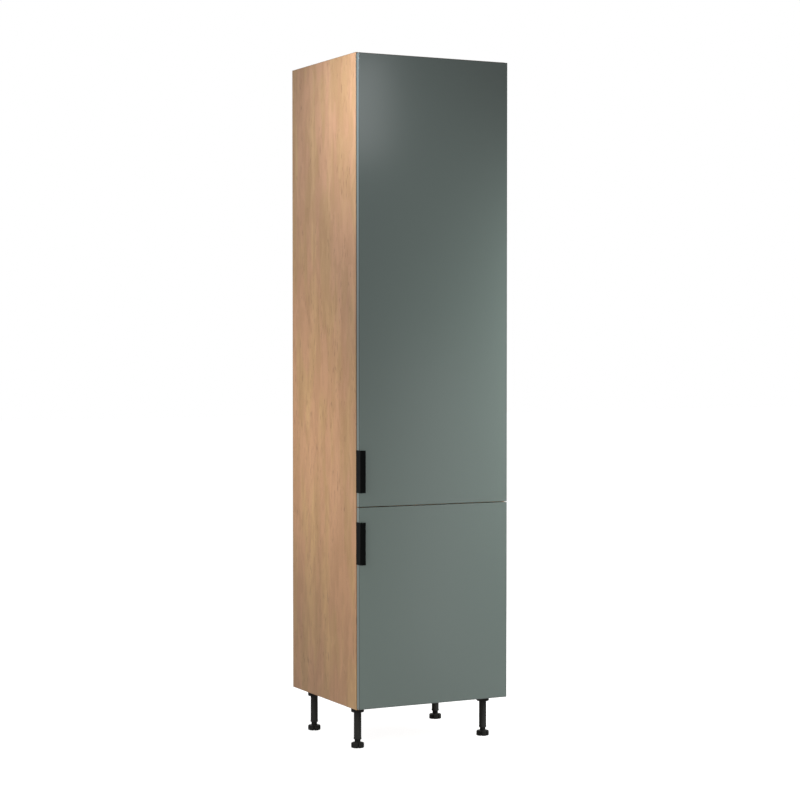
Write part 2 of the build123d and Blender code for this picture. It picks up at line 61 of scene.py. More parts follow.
# Lamps: name, place, point aimed at, width and height, watts, colour, and whether it shows in gloss
WHITE = (1, 1, 1)
BY_THE_DOORS = ((1.14, -0.91, 1.44), (0.63, 0.26, 0.23), (0.27, 2))
LAMPS = (
    ("right_of_doors_fill", *BY_THE_DOORS, 45.4, WHITE, False),
    ("right_of_doors_sheen", *BY_THE_DOORS, 7.8, WHITE, True),
    ("front_low", (0.85, -1.89, 0.6), (-0.11, -0.29, 0.8), (0.28, 1.6), 1.87, WHITE, True),
    ("left_top", (-0.89, -0.33, 2.47), (0.46, -0.46, 0.72), (0.34, 0.34), 10.7, (0.97, 1.05, 1.26), True),
    ("left", (-0.96, -0.6, 0.95), (-0.93, 0.52, 0.19), (0.32, 2), 13, (1.01, 1, 0.94), True),
    ("left_low", (-0.92, 0.24, 0.85), (0.32, 0.46, 2.63), (0.38, 0.27), 2, WHITE, True),
    ("front_top", (0.01, -0.97, 2.36), (-0.41, -0.14, 1.96), (0.25, 0.41), 0.92, WHITE, True),
    ("rear", (1.2, 3.0, 2.2), (0, 0, 1.3), (1.5, 2), 40, WHITE, True),
    ("right", (3.2, 0.9, 1.9), (0, 0, 1.2), (1.5, 2), 20, WHITE, True),
)

# Flat sides of round forms, from large ones to small, and the angle from which an edge stays sharp
SIDES = 96
EAR_SIDES = 48
CORNER_SIDES = 32
EYE_SIDES = 24
PIN_SIDES = 20
SHARP_ANGLE = 35

# Feet, legs and sockets. A pair says how far in a point lies, and how far up or down
CORNERS = ("front_left", "front_right", "rear_left", "rear_right")
PAD_R = 0.0232
PAD_TOP = 0.018
PAD_EASE = 0.0015
PAD_SHOULDER = ((0, 0.0035), (0.0008, 0.0012), (0.003, 0))
PAD_SIDES = 144
PAD_GROOVES = 6
PAD_TURNS = {"front_left": 12, "front_right": -14, "rear_left": 4, "rear_right": -20}
GROOVE_SHARE = 0.085
GROOVE_DEPTH = 0.0075
GROOVE_REACH = 0.0042
NECK_R = 0.0109
NECK_FOOT = 0.001
NECK_WAIST = (0.0005, 0.0012)
THREAD_PITCH = 0.003
THREAD_DEPTH = 0.0007
THREAD_FLANK = 0.3
TUBE_R = 0.0134
BEAD_R = 0.0142
BEAD_HEIGHT = 0.006
BEAD_EASE = (0.0006, 0.0008)
BEAD_SLOPE = 0.0012
BORE_ROOM = 0.0003
BORE_DEPTH = 0.075
BORE_EASE = 0.0004
SOCKET_HALF = 0.027
SOCKET_CORNER = 0.009
SOCKET_PLATE = 0.0035
SOCKET_EASE = 0.0006
COLLAR_R = 0.0232
COLLAR_ROOM = 0.0002
COLLAR_EASE = 0.0012
COLLAR_RIBS = 16
RIB_SHARE = 0.3
RIB_STEP = 0.0008
RIB_REACH = 0.002

# Hinges: u from the door's hinge edge, v from its back towards its front, w up from the hinge's middle

# Links: points from the pin in the cup to the pin in the arm, and layers between heights in w
OUTER_POINTS = ((0.009, 0.0071), (0.01174, 0.00979), (0.03137, 0.00969), (0.033, 0.0015))
INNER_POINTS = ((0.0084, 0.003), (0.01308, 0.00657), (0.03289, -0.00864), (0.039, -0.012))
OUTER_LAYERS = ((-0.0041, -0.0027), (0.0027, 0.0041))
INNER_LAYERS = ((-0.0024, 0.0024),)
LINK_WIDTH = 0.0028
LINK_EASE = 0.0001
ELBOW_R = 0.0022
BEND_STEPS = 6
EYE_R = 0.0018
BRIDGE = (0.0225, 0.029)
BRIDGE_SKIN = 0.001
LINK_PIN_R = 0.00095
LINK_PIN_HALF = 0.0056
LINK_PIN_EASE = 0.00015

# Arms: points of a rivet's head, as shares of its radius and heights over the cheek, then the arm's forms
RIVET_R = 0.0015
RIVET_HEAD = ((1, -0.0002), (1, 0.0002), (0.6, 0.0005))
HEEL = (0.026, -0.027)
HEEL_R = 0.0035
OUTER_NOSE_R = 0.0019
INNER_NOSE_R = 0.0027
ARM_CHEEK = (0.0044, 0.0056)
ARM_SEAT_U = 0.0192
ARM_BACK_U = 0.0295
ARM_REAR_V = -0.058
ARM_SKIN = 0.0012
ARM_EASE = 0.0002

# Cups: half the mouth's width before and behind its step, and the pocket's limits in u, v and w
CUP_U = 0.0205
CUP_R = 0.0174
CUP_WALL = 0.0008
CUP_DEPTH = 0.0128
CUP_FLANGE = 0.0012
CUP_FLANGE_R = 0.0185
CUP_FLANGE_EASE = 0.0003
CUP_EAR_R = 0.006
CUP_SCREW_U = 0.03
CUP_SCREW_W = 0.0225
MOUTH_STEP_U = 0.017
MOUTH_HALVES = (0.0044, 0.006)
POCKET = ((0.0054, 0.0117), (0.0007, 0.0109), (-0.0059, 0.0059))

# Mounting plates: against the side panel, with a wing for the screws and a rail for the arm
PLATE_U = 0.0165
PLATE_FACE_U = 0.0187
PLATE_RAIL_TOP = 0.0247
PLATE_RAIL_V = (-0.06, -0.019)
PLATE_RAIL_HALF = 0.0042
PLATE_SCREW_V = -0.04
PLATE_SCREW_W = 0.016
PLATE_WING_HALF = 0.024
PLATE_WING_R = 0.007
PLATE_EASE = 0.0004
RAIL_CORNER = 0.0012

# How far the cup's mouth is cut past the cup, and how far solids overlap before they are joined or cut
MOUTH_LAP = 0.0001
SOLID_LAP = 0.0002

# Drawing planes of the hinge: outline in u and w with its height in v, and outline in v and w with it in u
DEPTH_UP = Matrix(((1, 0, 0, 0), (0, 0, 1, 0), (0, -1, 0, 0), (0, 0, 0, 1)))
OUTWARDS_UP = Matrix(((0, 0, 1, 0), (1, 0, 0, 0), (0, 1, 0, 0), (0, 0, 0, 1)))

# Screws: radius and height of the head, and radius of the shank. The eased rim and the cross recess are
# shares of the head. The last two values are places on the arm and on the handle
CUP_SCREW = (0.0036, 0.0011, 0.00175)
HANDLE_SCREW = (0.0029, 0.0009, 0.0016)
PLATE_SCREW = (0.0043, 0.0014, 0.00246)
ARM_SCREW = (0.0035, 0.0015, 0.0024)
SCREW_LENGTH = 0.006
SCREW_SIDES = 28
HEAD_RIM = 0.25
CROSS_ARM = 0.52
CROSS_HALF = 0.12
CROSS_FLOOR = 0.35
CROSS_TAPER = 0.8
ARM_SCREW_VS = (-0.033, -0.052)
HANDLE_SCREW_W = 0.048

# Shelf pins and bumpers
SHELF_PIN_ROWS = (-0.22, 0.196)
SHELF_PIN_R = 0.00246
SHELF_PIN_IN = 0.009
SHELF_PIN_OUT = 0.007
SHELF_PIN_EASE = 0.0006
SHELF_COLLAR_R = 0.0044
SHELF_COLLAR = 0.0008
BUMPER_R = 0.005
BUMPER_SIDES = 40
DOME_STEPS = 6
DOME_STEP_ANGLE = 0.3
DOME_WALL = 0.35

# Boards by the way their grain runs, and the depth of the bare layer on a rear edge
UPRIGHT_BOARDS = ("side_left", "side_right")
LEVEL_BOARDS = ("top_panel", "bottom_panel", "fixed_shelf", "shelf_lower", "shelf_upper_bottom",
                "shelf_upper_middle", "shelf_upper_top")
BACK_SHEETS = ("back_upper", "back_lower")
RAW_DEPTH = 0.0008

# Painted shade along edges: dark lines where shade falls on the eased arrises. Their width, the share of it
# that is fully dark, and how far the lines are moved out past an edge that shows none
OAK_SHADE_LINE = 0.0018
ARRIS_SHADE_LINE = 0.004
LINE_CORE = 0.4
LINE_LAP = 0.05

# Colours in 8-bit sRGB
OAK_LIGHT = (181, 143, 98)
OAK_MID = (163, 126, 84)
OAK_PINK = (178, 131, 99)
OAK_DARK = (142, 103, 65)
OAK_PORE = (104, 72, 45)
OAK_RAY = (197, 161, 122)
# Painted shade: the dark brown painted along the oak boards' edges
OAK_EDGE_SHADE = (84, 58, 38)
CHIP_LIGHT = (196, 165, 122)
CHIP_DARK = (134, 101, 66)
CHIP_DUST = (176, 146, 106)
HARD_BOARD = (133, 99, 67)
HARD_BOARD_LIGHT = (160, 124, 88)
HARD_BOARD_HAIR = (96, 69, 45)
LACQUER = (83, 95, 90)
# Painted shade: the dark tone painted along the doors' arrises
LACQUER_ARRIS_SHADE = (38, 45, 43)
HANDLE_BLACK = (5, 6, 6)
LEG_BLACK = (46, 46, 45)
PAD_BLACK = (36, 36, 35)
NICKEL = (205, 202, 196)
ZINC = (188, 190, 192)
BEECH = (208, 173, 131)
STRIP_WHITE = (228, 226, 220)
BUMPER_CLEAR = (214, 217, 215)

# Roughness, how strongly oak mirrors, drift of the lacquer's tone, and patches of wear
OAK_ROUGH = (0.42, 0.56)
OAK_SHINE = 0.3
LACQUER_ROUGH = (0.27, 0.29)
LACQUER_DRIFT = (0.97, 1.03)
TEXTURE_ROUGH = 0.05
WEAR_ROUGH = 0.06
WEAR_SIZE = 35
WEAR_LEVELS = (0.35, 0.75)

# Growth rings of the oak decor: how many cross the noise from 0 to 1, and a ring's start and its peak
RING_COUNT = 17
RING_LEVELS = (0.3, 0.5)


def linear(color):
    """8-bit sRGB colour as the linear colour that shaders take."""
    shares = [part / 255 for part in color]
    return [s / 12.92 if s <= 0.04045 else ((s + 0.055) / 1.055) ** 2.4 for s in shares] + [1]


def shaded(color, factor):
    """8-bit colour as a linear one, darker or brighter by a factor."""
    return [min(1, part * factor) for part in linear(color)[:3]] + [1]


class Shader:
    """A material with one principled shader, and short calls that add nodes to it."""

    # A mix node's factor, first and second colour among its inputs, and the colour among its outputs
    MIX_INPUTS = (0, 6, 7)
    MIX_OUTPUT = 2

    def __init__(self, name):
        self.material = bpy.data.materials.new(name)
        self.material.use_nodes = True
        self.tree = self.material.node_tree
        self.main = self.tree.nodes["Principled BSDF"]
        self.place = self.add("TexCoord").outputs["Object"]

    def add(self, kind, **inputs):
        """New node; an underscore in an input's name stands for a space."""
        node = self.tree.nodes.new("ShaderNode" + kind)
        for name, value in inputs.items():
            self.join(value, node.inputs[name.replace("_", " ")])
        return node

    def join(self, value, socket):
        """Links an output to a socket, or sets the socket to a plain value."""
        if isinstance(value, bpy.types.NodeSocket):
            self.tree.links.new(value, socket)
        else:
            socket.default_value = value

    def coordinate(self, axis):
        """Place along one axis."""
        return self.add("SeparateXYZ", Vector=self.place).outputs[axis]

    def stretched(self, scale):
        """Place, scaled on each axis."""
        return self.add("Mapping", Vector=self.place, Scale=scale).outputs["Vector"]

    def noise(self, size, detail, stretch=(1, 1, 1), roughness=0.5, distortion=0.0):
        """Noise with so many waves per metre, times the stretch on each axis."""
        node = self.add("TexNoise", Vector=self.stretched(stretch), Scale=size, Detail=detail,
                        Roughness=roughness, Distortion=distortion)
        return node.outputs["Fac"]

    def ramp(self, factor, low, high):
        """0 up to one level and 1 from another, smooth between them."""
        node = self.add("MapRange", Value=factor, From_Min=low, From_Max=high)
        node.interpolation_type = "SMOOTHSTEP"
        return node.outputs["Result"]

    def span(self, factor, low, high):
        """Value that goes from low to high as the factor goes from 0 to 1."""
        return self.add("MapRange", Value=factor, To_Min=low, To_Max=high).outputs["Result"]

    def calc(self, kind, first, second):
        """Result of one sum, product or other operation."""
        node = self.add("Math")
        node.operation = kind
        self.join(first, node.inputs[0])
        self.join(second, node.inputs[1])
        return node.outputs[0]

    def mix(self, factor, first, second):
        """Colour between two others."""
        node = self.add("Mix")
        node.data_type = "RGBA"
        for place, value in zip(self.MIX_INPUTS, (factor, first, second)):
            self.join(value, node.inputs[place])
        return node.outputs[self.MIX_OUTPUT]

    def tint(self, color, mask, share, tone):
        """Colour moved towards an 8-bit one where a mask is up, by a share of the mask."""
        return self.mix(self.calc("MULTIPLY", mask, share), color, linear(tone))

    def bump(self, height, strength, distance):
        """Relief of the surface."""
        node = self.add("Bump", Height=height, Strength=strength, Distance=distance)
        self.join(node.outputs["Normal"], self.main.inputs["Normal"])

    def set(self, **inputs):
        """Inputs of the principled shader."""
        for name, value in inputs.items():
            self.join(value, self.main.inputs[name.replace("_", " ")])


def grain(shader, axis, across, along, detail, shows=None, **noise):
    """Noise with so many waves per metre across the grain and along it, or with shows, a ramp of it."""
    stretch = [along if name == axis else across for name in "XYZ"]
    pattern = shader.noise(1, detail, stretch, **noise)
    return shader.ramp(pattern, *shows) if shows else pattern


def edge_shade_lines(shader, low, high, width):
    """Mask for painted shade: 1 along the lines where two faces of a box meet, fading over a width."""
    total = None
    for axis, start, end in zip("XYZ", low, high):
        centre, half = (start + end) / 2, (end - start) / 2
        away = shader.calc("ABSOLUTE", shader.calc("SUBTRACT", shader.coordinate(axis), centre), 0.0)
        near = shader.ramp(away, half - width, half - LINE_CORE * width)
        total = near if total is None else shader.calc("ADD", total, near)
    return shader.calc("MAXIMUM", shader.calc("SUBTRACT", total, 1.0), 0.0)


def oak(name, axis, low, high, depth, raw):
    """Board faced with honey oak decor, its grain along one axis, painted shade on its edges; behind a depth
    it is bare.
    """
    shader = Shader(name)
    warmth = grain(shader, axis, across=15, along=3.5, detail=2, distortion=0.4, shows=(0.38, 0.62))
    bands = grain(shader, axis, across=10, along=0.9, detail=2, distortion=0.5, shows=(0.35, 0.65))
    patches = grain(shader, axis, across=24, along=7, detail=2, distortion=0.9, shows=(0.43, 0.57))
    swell = grain(shader, axis, across=3.2, along=0.42, detail=2, roughness=0.45, distortion=0.5)
    rings = shader.calc("PINGPONG", shader.calc("MULTIPLY", swell, RING_COUNT), RING_LEVELS[1])
    rings = shader.ramp(rings, *RING_LEVELS)
    streaks = grain(shader, axis, across=55, along=7, detail=3, distortion=0.7, shows=(0.5, 0.68))
    fibres = grain(shader, axis, across=520, along=11, detail=3, roughness=0.7)
    beds = grain(shader, axis, across=18, along=5, detail=2, shows=(0.42, 0.6))
    flecks = grain(shader, axis, across=130, along=24, detail=1, roughness=0.4, shows=(0.62, 0.7))
    flecks = shader.calc("MULTIPLY", flecks, beds)
    rays = grain(shader, axis, across=840, along=168, detail=1, roughness=0.4, shows=(0.66, 0.74))
    pores = grain(shader, axis, across=700, along=45, detail=2, shows=(0.6, 0.7))
    # Painted shade: a mask of dark lines along the board's edges
    lines = edge_shade_lines(shader, low, high, OAK_SHADE_LINE)
    color = shader.mix(bands, linear(OAK_MID), linear(OAK_LIGHT))
    for mask, share, tone in (
        (warmth, 0.65, OAK_PINK),
        (patches, 0.26, OAK_DARK),
        (rings, 0.12, OAK_DARK),
        (streaks, 0.2, OAK_DARK),
        (fibres, 0.08, OAK_DARK),
        (flecks, 0.5, OAK_PORE),
        (rays, 0.4, OAK_RAY),
        (pores, 0.2, OAK_PORE),
        # painted shade along the edges
        (lines, 0.55, OAK_EDGE_SHADE),
    ):
        color = shader.tint(color, mask, share, tone)
    behind = shader.calc("GREATER_THAN", shader.coordinate("Y"), depth)
    color = shader.mix(behind, color, raw(shader))
    shader.set(Base_Color=color, Roughness=shader.span(fibres, *OAK_ROUGH), Specular_IOR_Level=OAK_SHINE)
    relief = shader.calc("SUBTRACT", fibres, shader.calc("ADD", flecks, pores))
    shader.bump(relief, strength=0.22, distance=0.0002)
    return shader.material


def chipboard(shader):
    """Colour of a bare edge of chipboard."""
    chips = shader.add("TexVoronoi", Vector=shader.stretched((1, 1, 0.55)), Scale=420)
    color = shader.mix(chips.outputs["Color"], linear(CHIP_DARK), linear(CHIP_LIGHT))
    return shader.tint(color, shader.noise(size=900, detail=2), share=0.5, tone=CHIP_DUST)


def fibreboard(shader):
    """Colour of the bare side of a thin fibreboard sheet."""
    clouds = shader.ramp(shader.noise(size=14, detail=3, roughness=0.6), low=0.2, high=0.8)
    felt = shader.noise(size=240, detail=5, roughness=0.7)
    hairs = shader.noise(size=1, detail=3, stretch=(180, 1, 40), roughness=0.6, distortion=2.0)
    hairs = shader.ramp(hairs, low=0.55, high=0.7)
    color = shader.tint(linear(HARD_BOARD), clouds, share=0.4, tone=HARD_BOARD_LIGHT)
    color = shader.tint(color, felt, share=0.5, tone=HARD_BOARD_LIGHT)
    return shader.tint(color, hairs, share=0.35, tone=HARD_BOARD_HAIR)


def lacquer(name, low, high):
    """Satin grey green lacquer: faint drift of its tone, the fine waves of a sprayed film, painted shade
    along the arrises.
    """
    shader = Shader(name)
    drift = shader.noise(size=2.3, detail=2)
    waves = shader.calc("ADD", shader.noise(size=700, detail=2), shader.noise(size=60, detail=2))
    color = shader.mix(drift, *[shaded(LACQUER, factor) for factor in LACQUER_DRIFT])
    # Painted shade: dark lines along the door's arrises
    color = shader.tint(color, edge_shade_lines(shader, low, high, ARRIS_SHADE_LINE), share=0.5, tone=LACQUER_ARRIS_SHADE)
    shader.set(Base_Color=color, Roughness=shader.span(drift, *LACQUER_ROUGH))
    shader.bump(waves, strength=0.03, distance=0.0001)
    return shader.material


def worn(name, color, rough, size, tone, stretch=(1, 1, 1), metal=0.0, bump=0.12, shine=0.5):
    """Surface of one colour with a fine texture and uneven wear; tone is how far the colour varies."""
    shader = Shader(name)
    texture = shader.noise(size, detail=4, stretch=stretch, roughness=0.6)
    wear = shader.ramp(shader.noise(WEAR_SIZE, detail=3), *WEAR_LEVELS)
    fine = shader.span(texture, rough - TEXTURE_ROUGH, rough + TEXTURE_ROUGH)
    roughness = shader.calc("ADD", fine, shader.span(wear, 0, WEAR_ROUGH))
    color = shader.mix(texture, shaded(color, 1 - tone), shaded(color, 1 + tone))
    shader.set(Base_Color=color, Roughness=roughness, Metallic=metal, Specular_IOR_Level=shine)
    shader.bump(texture, bump, distance=0.0001)
    return shader.material


def dress(material, *names):
    """Gives a material to CAD nodes that stay as they are."""
    for name in names:
        materials = nodes[name].data.materials
        materials.clear()
        materials.append(material)


def finish_piece(name, form, material, slot, body, *replaced):
    """Turns a bmesh into a piece that rides on a body and stands for CAD nodes."""
    bmesh.ops.recalc_face_normals(form, faces=form.faces)
    mesh = bpy.data.meshes.new(name)
    form.to_mesh(mesh)
    form.free()
    mesh.polygons.foreach_set("use_smooth", [True] * len(mesh.polygons))
    mesh.set_sharp_from_angle(angle=math.radians(SHARP_ANGLE))
    mesh.materials.append(material)
    piece = bpy.data.objects.new(name, mesh)
    scene.collection.objects.link(piece)
    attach(piece, body)
    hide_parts(*replaced)


def middle(node):
    """Middle of a CAD node's box."""
    low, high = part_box(node)
    return Vector([(start + end) / 2 for start, end in zip(low, high)])


def stand(place, direction):
    """Matrix that puts a form's Z axis on a direction, from a place."""
    turn = Vector(direction).to_track_quat("Z", "Y").to_matrix().to_4x4()
    return Matrix.Translation(Vector(place)) @ turn


def turned(form, profile, matrix, sides, waver=None):
    """Solid of revolution from (radius, height) points; waver(angle, radius) may move the radius."""
    rings = []
    for radius, height in profile:
        ring = []
        for i in range(sides):
            angle = 2 * math.pi * i / sides
            reach = waver(angle, radius) if waver else radius
            point = Vector((reach * math.cos(angle), reach * math.sin(angle), height))
            ring.append(form.verts.new(matrix @ point))
        rings.append(ring)
    for low, high in zip(rings, rings[1:]):
        for i in range(sides):
            j = (i + 1) % sides
            form.faces.new((low[i], low[j], high[j], high[i]))
    for ring in (rings[0], rings[-1]):
        form.faces.new(ring)
    return rings


def edge_loop(form, points, matrix):
    """Vertices and edges of a closed loop through points."""
    verts = [form.verts.new(matrix @ Vector(point)) for point in points]
    return verts, [form.edges.new((verts[i - 1], verts[i])) for i in range(len(verts))]


def plate(form, outline, low, high, matrix, ease=0.0):
    """Solid from a flat outline, drawn out between two heights, its rims eased."""
    levels = [(low, 0), (high, 0)]
    if ease:
        levels = [(low, ease), (low + ease, 0), (high - ease, 0), (high, ease)]
    rings = []
    for height, inset in levels:
        shape = shrunk(outline, inset) if inset else outline
        rings.append([form.verts.new(matrix @ Vector((x, y, height))) for x, y in shape])
    for bottom, top in zip(rings, rings[1:]):
        for i in range(len(bottom)):
            form.faces.new((bottom[i - 1], bottom[i], top[i], top[i - 1]))
    form.faces.new(rings[0])
    form.faces.new(rings[-1])


def shrunk(outline, inset):
    """Outline moved inwards by a small distance."""
    area = sum(a[0] * b[1] - b[0] * a[1] for a, b in zip(outline, outline[1:] + outline[:1]))
    side = 1 if area > 0 else -1
    moved = []
    for i, point in enumerate(outline):
        before, after = Vector(outline[i - 1]), Vector(outline[(i + 1) % len(outline)])
        way = after - before
        normal = Vector((-way.y, way.x)).normalized() * side * inset
        moved.append((point[0] + normal.x, point[1] + normal.y))
    return moved


def circle_points(centre, radius, count):
    """Points round a circle."""
    angles = [2 * math.pi * i / count for i in range(count)]
    return [(centre[0] + radius * math.cos(angle), centre[1] + radius * math.sin(angle)) for angle in angles]


def hull(points):
    """Convex outline round points."""
    points = sorted(set(points))
    sides = []
    for run in (points, points[::-1]):
        chain = []
        for point in run:
            while len(chain) > 1 and turn_sign(chain[-2], chain[-1], point) <= 0:
                chain.pop()
            chain.append(point)
        sides += chain[:-1]
    return sides


def round_hull(centres, radius, count):
    """Convex outline round circles of one size."""
    return hull([point for centre in centres for point in circle_points(centre, radius, count)])


def turn_sign(a, b, c):
    """Positive where the way a, b, c turns left."""
    return (b[0] - a[0]) * (c[1] - a[1]) - (b[1] - a[1]) * (c[0] - a[0])


def screw(form, place, direction, size):
    """Screw with a cross recess in an eased head; its tip lies along the direction."""
    radius, height, shank = size
    out = stand(place, [-part for part in direction])
    rim = HEAD_RIM * height
    profile = [(shank, -SCREW_LENGTH), (shank, 0), (radius, 0)]
    profile += [(radius, height - rim), (radius - rim, height)]
    top = turned(form, profile, out, SCREW_SIDES)[-1]
    form.faces.remove(next(face for face in top[0].link_faces if len(face.verts) == SCREW_SIDES))
    rim_edges = [form.edges.get((top[i - 1], top[i])) for i in range(SCREW_SIDES)]
    cross_recess(form, rim_edges, radius, height, out)


def cross_recess(form, rim_edges, radius, height, matrix):
    """Top of a screw's head, from its rim to the floor of the recess."""
    arm, half = CROSS_ARM * radius, CROSS_HALF * radius
    cross = []
    for turn in range(4):
        cosine, sine = math.cos(turn * math.pi / 2), math.sin(turn * math.pi / 2)
        for x, y in ((half, half), (half, arm), (-half, arm)):
            cross.append((x * cosine - y * sine, x * sine + y * cosine))
    mouth, edges = edge_loop(form, [(x, y, height) for x, y in cross], matrix)
    bmesh.ops.triangle_fill(form, use_beauty=True, edges=rim_edges + edges)
    for face in [face for face in form.faces if all(vert in mouth for vert in face.verts)]:
        form.faces.remove(face)
    floor_points = [(CROSS_TAPER * x, CROSS_TAPER * y, CROSS_FLOOR * height) for x, y in cross]
    floor, _ = edge_loop(form, floor_points, matrix)
    for i in range(len(mouth)):
        form.faces.new((mouth[i - 1], mouth[i], floor[i], floor[i - 1]))
    form.faces.new(floor)


def area_light(name, place, target, size, power, color, mirrored):
    """Soft rectangular lamp aimed at a point; one that isn't mirrored leaves no image in gloss."""
    data = bpy.data.lights.new(name, "AREA")
    data.shape = "RECTANGLE"
    data.size, data.size_y = size
    data.energy = power
    data.color = color
    lamp = bpy.data.objects.new(name, data)
    lamp.location = place
    lamp.rotation_euler = (Vector(target) - Vector(place)).to_track_quat("-Z", "Y").to_euler()
    lamp.visible_camera = False
    lamp.visible_glossy = mirrored
    scene.collection.objects.link(lamp)


def white_floor():
    """Floor that shows white and keeps the object's shadow."""
    mesh = bpy.data.meshes.new("floor")
    half = FLOOR_SIZE / 2
    corners = [(x, y, 0) for x, y in rectangle((-half, half), (-half, half))]
    mesh.from_pydata(corners, [], [(0, 1, 2, 3)])
    floor = bpy.data.objects.new("floor", mesh)
    scene.collection.objects.link(floor)
    mesh.materials.append(floor_material())


def floor_material():
    """Pale matt surface with a glow that only the camera, gloss and glass see."""
    material = bpy.data.materials.new("white_floor")
    material.use_nodes = True
    tree = material.node_tree
    tree.nodes.clear()
    output = tree.nodes.new("ShaderNodeOutputMaterial")
    both = tree.nodes.new("ShaderNodeAddShader")
    matt = tree.nodes.new("ShaderNodeBsdfDiffuse")
    matt.inputs["Color"].default_value = (FLOOR_SHARE, FLOOR_SHARE, FLOOR_SHARE, 1)
    glow = tree.nodes.new("ShaderNodeEmission")
    strength = tree.nodes.new("ShaderNodeMath")
    strength.operation = "MULTIPLY"
    strength.inputs[1].default_value = FLOOR_GLOW
    tree.links.new(seen_rays(tree), strength.inputs[0])
    tree.links.new(strength.outputs[0], glow.inputs["Strength"])
    tree.links.new(matt.outputs[0], both.inputs[0])
    tree.links.new(glow.outputs[0], both.inputs[1])
    tree.links.new(both.outputs[0], output.inputs["Surface"])
    return material


def white_world():
    """World that shows white and lights the object at a lower level."""
    world = bpy.data.worlds.new("studio")
    scene.world = world
    world.use_nodes = True
    tree = world.node_tree
    background = tree.nodes["Background"]
    background.inputs["Color"].default_value = (1, 1, 1, 1)
    level = tree.nodes.new("ShaderNodeMapRange")
    level.inputs["To Min"].default_value = WORLD_LIGHT
    tree.links.new(seen_rays(tree), level.inputs["Value"])
    tree.links.new(level.outputs["Result"], background.inputs["Strength"])


def seen_rays(tree):
    """1 for rays from the camera, and for rays seen in gloss or through glass."""
    path = tree.nodes.new("ShaderNodeLightPath")
    total = path.outputs["Is Camera Ray"]
    for name in ("Is Glossy Ray", "Is Transmission Ray"):
        both = tree.nodes.new("ShaderNodeMath")
        both.operation = "MAXIMUM"
        tree.links.new(total, both.inputs[0])
        tree.links.new(path.outputs[name], both.inputs[1])
        total = both.outputs[0]
    return total


def camera():
    """Camera at the photograph's place and angle."""
    data = bpy.data.cameras.new("camera")
    data.sensor_width = SENSOR_WIDTH
    data.lens = FOCAL_PIXELS / IMAGE_SIZE * data.sensor_width
    data.clip_end = CLIP_END
    view = bpy.data.objects.new("camera", data)
    view.location = CAMERA_PLACE
    view.rotation_euler = (math.radians(90 - CAMERA_DIP), 0, math.radians(-CAMERA_TURN))
    scene.collection.objects.link(view)
    scene.camera = view


def legs(material):
    """Leg bodies: a tube with a bead round its open end, and a blind bore for the foot's neck."""
    for corner in CORNERS:
        low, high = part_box(f"leg_{corner}")
        form = bmesh.new()
        bore, bead = NECK_R + BORE_ROOM, low.z + BEAD_HEIGHT
        profile = [
            (bore, low.z + BORE_DEPTH),
            (bore, low.z + BORE_EASE),
            (bore + BORE_EASE, low.z),
            (BEAD_R - BEAD_EASE[0], low.z),
            (BEAD_R, low.z + BEAD_EASE[1]),
            (BEAD_R, bead - BEAD_SLOPE),
            (TUBE_R, bead),
            (TUBE_R, high.z),
        ]
        turned(form, profile, leg_axis(f"leg_{corner}"), SIDES)
        finish_piece(f"leg_tube_{corner}", form, material, "black_plastic", "carcass", f"leg_{corner}")


def leg_axis(node):
    """Matrix that puts a form's Z axis on a leg's or foot's axis, from the floor up."""
    centre = middle(node)
    return stand((centre.x, centre.y, 0), (0, 0, 1))


def feet(material):
    """Screw feet: a pad with a grooved rim, and a threaded neck."""
    for corner in CORNERS:
        profile = [(PAD_R - PAD_EASE, 0), (PAD_R, PAD_EASE)]
        profile += [(PAD_R - inset, PAD_TOP - drop) for inset, drop in PAD_SHOULDER]
        profile += [(NECK_R + NECK_FOOT, PAD_TOP), (NECK_R - NECK_WAIST[0], PAD_TOP + NECK_WAIST[1])]
        turns = int((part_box(f"foot_{corner}")[1].z - PAD_TOP) / THREAD_PITCH)
        for i in range(1, turns):
            crest = PAD_TOP + i * THREAD_PITCH
            profile += [(NECK_R - THREAD_DEPTH, crest - THREAD_FLANK * THREAD_PITCH), (NECK_R, crest)]
        place = leg_axis(f"foot_{corner}") @ Matrix.Rotation(math.radians(PAD_TURNS[corner]), 4, "Z")
        form = bmesh.new()
        turned(form, profile, place, PAD_SIDES, pad_rim)
        finish_piece(f"screw_foot_{corner}", form, material, "black_plastic", f"{corner}_foot",
                     f"foot_{corner}")


def part_of_turn(angle, count):
    """How far an angle is, from 0 to 1, through one of so many equal parts of a turn."""
    return (angle * count / (2 * math.pi)) % 1


def pad_rim(angle, radius):
    """Radius of the pad's rim, which dips in at each grip groove."""
    if radius < PAD_R - GROOVE_REACH:
        return radius
    part = part_of_turn(angle, PAD_GROOVES)
    dip = max(0.0, 1 - min(part, 1 - part) / GROOVE_SHARE)
    return radius - GROOVE_DEPTH * math.sqrt(dip)


def sockets(material):
    """Leg sockets: a plate with round corners, and a collar with upright ribs."""
    form = bmesh.new()
    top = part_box("bottom_panel")[0].z
    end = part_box("leg_sockets")[0].z
    bore = TUBE_R + COLLAR_ROOM
    collar = [(bore, top - SOCKET_PLATE), (bore, end), (COLLAR_R - COLLAR_EASE, end),
              (COLLAR_R, end + COLLAR_EASE), (COLLAR_R, top - SOCKET_PLATE)]
    reach = SOCKET_HALF - SOCKET_CORNER
    outline = round_hull(rectangle((-reach, reach), (-reach, reach)), SOCKET_CORNER, CORNER_SIDES)
    for corner in CORNERS:
        place = leg_axis(f"leg_{corner}")
        plate(form, outline, top - SOCKET_PLATE, top, place, SOCKET_EASE)
        turned(form, collar, place, SIDES, collar_rib)
    finish_piece("ribbed_sockets", form, material, "black_plastic", "carcass", "leg_sockets")


